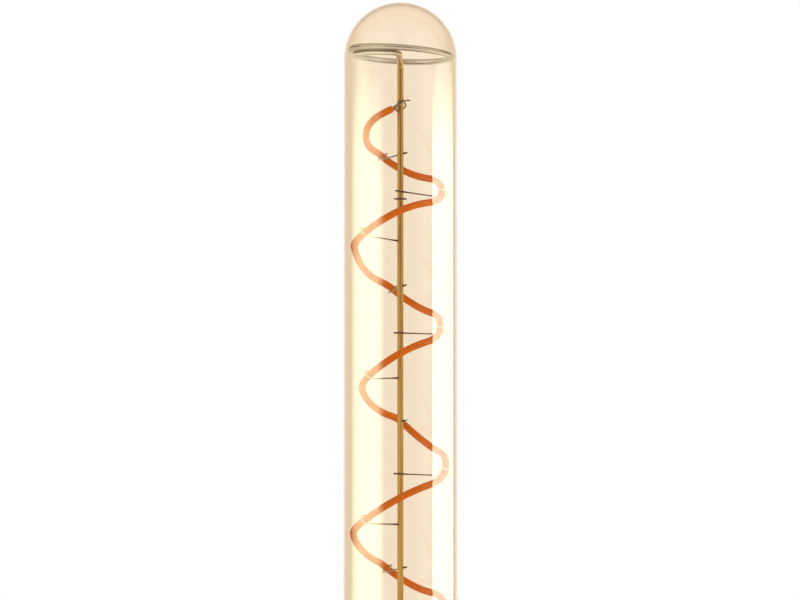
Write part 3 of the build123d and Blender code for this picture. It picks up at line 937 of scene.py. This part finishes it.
def white_world():
    """White to the camera and through the glass, and a soft fill.

    It is dimmer overhead, and reflections outside and inside the glass have levels of their own.
    """
    world = bpy.data.worlds.new("studio")
    world.use_nodes = True
    bpy.context.scene.world = world
    tree = world.node_tree
    path = tree.nodes.new("ShaderNodeLightPath").outputs
    direction = tree.nodes.new("ShaderNodeTexCoord").outputs["Generated"]
    depth = ranged(tree, part_of(tree, direction, "Y"), -1.0, 1.0)
    overhead = ranged(tree, part_of(tree, direction, "Z"), *overhead_rise)
    mirrored = chosen(tree, overhead, levels(tree, depth, mirrored_levels), fill_level)
    inside = chosen(tree, overhead, levels(tree, depth, inside_levels), overhead_level)
    through = chosen(tree, path["Glossy Depth"], chosen(tree, overhead, 1.0, overhead_level), inside)
    level = chosen(tree, path["Is Glossy Ray"], fill_level, mirrored)
    level = chosen(tree, path["Is Transmission Ray"], level, through)
    level = chosen(tree, path["Is Camera Ray"], level, 1.0)
    background = tree.nodes["Background"]
    set_values(background, Color=(1, 1, 1, 1))
    tree.links.new(level, background.inputs["Strength"])


# Lamps, in metres. Levels up and across a softbox are stops of a share of its size and a level.
box_distance = 0.9
box_foot = 0.02
box_top = 0.46
upright_levels = ((0.0, 0.0), (0.25, 1.0), (0.74, 1.0), (0.855, 0.0), (1.0, 0.0))
even_levels = ((0.0, 1.0), (1.0, 1.0))
right_tint = (0.97, 1.0, 0.8)
left_tint = (0.92, 1.0, 0.65)
# Each softbox: the directions of its edges, its radiance, its levels across and its tint
softboxes = {
    "right_strip": ((-22, 44), 14.0, ((0.0, 1.0), (1.0, 0.3)), right_tint),
    "left_strip": ((-206, -147), 9.8, ((0.0, 0.12), (0.5, 1.0), (1.0, 1.0)), left_tint),
    "front_left_strip": ((-147, -120), 9.8, ((0.0, 1.0), (0.35, 1.0), (0.9, 0.0), (1.0, 0.0)), left_tint),
    "right_box": ((-22, 44), 6.5, even_levels, None),
    "left_box": ((-206, -140), 6.5, even_levels, None),
    "front_box": ((-120, -60), 1.5, even_levels, None),
}
top_box_size = 1.0
top_box_z = 1.3
top_box_radiance = 1.2


def area_lamp(name, width, height, place, radiance):
    """A flat lamp that faces the tube's axis and shows neither to the camera nor through glass."""
    lamp = bpy.data.lights.new(name, "AREA")
    lamp.shape = "RECTANGLE"
    lamp.size = width
    lamp.size_y = height
    lamp.energy = radiance * pi * width * height
    made = bpy.data.objects.new(name, lamp)
    made.location = place
    aim = Vector((0, 0, min(place[2], overall_length * MM)))
    made.rotation_euler = (aim - Vector(place)).to_track_quat("-Z", "Y").to_euler()
    made.visible_camera = False
    made.visible_transmission = False
    bpy.context.scene.collection.objects.link(made)
    return made


def softbox(name, edges, radiance, across, tint):
    """An upright softbox between two directions. A tinted one is for gloss, and another for plain light."""
    first, last = [polar(angle, box_distance, (box_foot + box_top) / 2) for angle in edges]
    lamp = area_lamp(name, (last - first).length, box_top - box_foot, (first + last) / 2, radiance)
    lamp.visible_glossy = tint is not None
    lamp.visible_diffuse = tint is None
    if tint:
        lamp.data.color = tint
    lamp.data.use_nodes = True
    tree = lamp.data.node_tree
    face = tree.nodes.new("ShaderNodeNewGeometry").outputs["Parametric"]
    sideways = levels(tree, part_of(tree, face, "X"), across)
    upright = levels(tree, part_of(tree, face, "Y"), upright_levels)
    level = reckoned(tree, "MULTIPLY", sideways, upright)
    tree.links.new(level, tree.nodes["Emission"].inputs["Strength"])


pale_floor()
white_world()
for name, setting in softboxes.items():
    softbox(name, *setting)
top_box = area_lamp("top_box", top_box_size, top_box_size, (0, 0, top_box_z), top_box_radiance)
top_box.visible_glossy = False

# The camera stands about level with the lamp's middle and is tilted up to frame its top.
camera_distance = 1130.0
camera_z = 147.0
focal_px = 4279.0
image_width = 800.0
axis_px = (400.4, 579.7)
image_middle = (400.0, 300.0)
sensor_width = 36.0
camera_reach = 50.0
camera = bpy.data.objects.new("camera", bpy.data.cameras.new("camera"))
camera.data.sensor_width = sensor_width
camera.data.lens = focal_px / image_width * sensor_width
camera.data.clip_end = camera_reach
camera.location = (0, -camera_distance * MM, camera_z * MM)
camera_tilt = atan((axis_px[1] - image_middle[1]) / focal_px)
camera_turn = atan((axis_px[0] - image_middle[0]) / focal_px)
camera.rotation_euler = (pi / 2 + camera_tilt, 0, camera_turn)
bpy.context.scene.collection.objects.link(camera)
bpy.context.scene.camera = camera
bpy.context.scene.view_settings.view_transform = "Standard"
